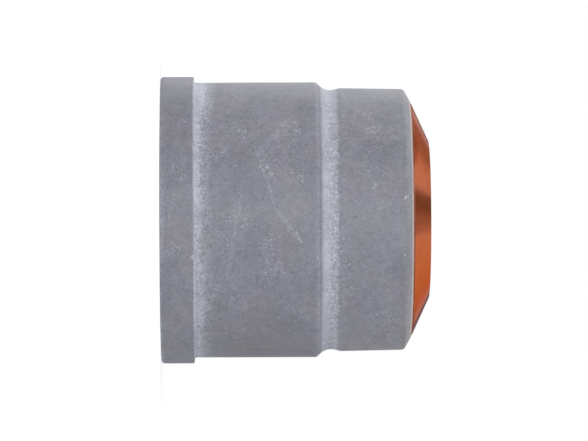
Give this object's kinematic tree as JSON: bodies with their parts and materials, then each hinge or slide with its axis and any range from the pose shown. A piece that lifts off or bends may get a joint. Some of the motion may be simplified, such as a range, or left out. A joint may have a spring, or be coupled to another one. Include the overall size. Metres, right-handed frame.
{
  "type": "plasma shield cap",
  "caption": "Round shield cap for a machine plasma torch: a grey insulating shell with a grip flange and a neck, round a threaded copper nose with an open front.",
  "frame": {"origin": "centre of the rear face of the grip flange, where the cap stands", "axes": "+Z along the cap's axis, from the open rear end towards the copper nose; X and Y are alike"},
  "size_m": [0.05, 0.05, 0.0466],
  "materials": {
    "shell": "moulded, satin",
    "copper": "turned copper"
  },
  "bodies": {
    "root": {"insulating_shell": "shell", "copper_nose": "copper"}
  },
  "joints": []
}
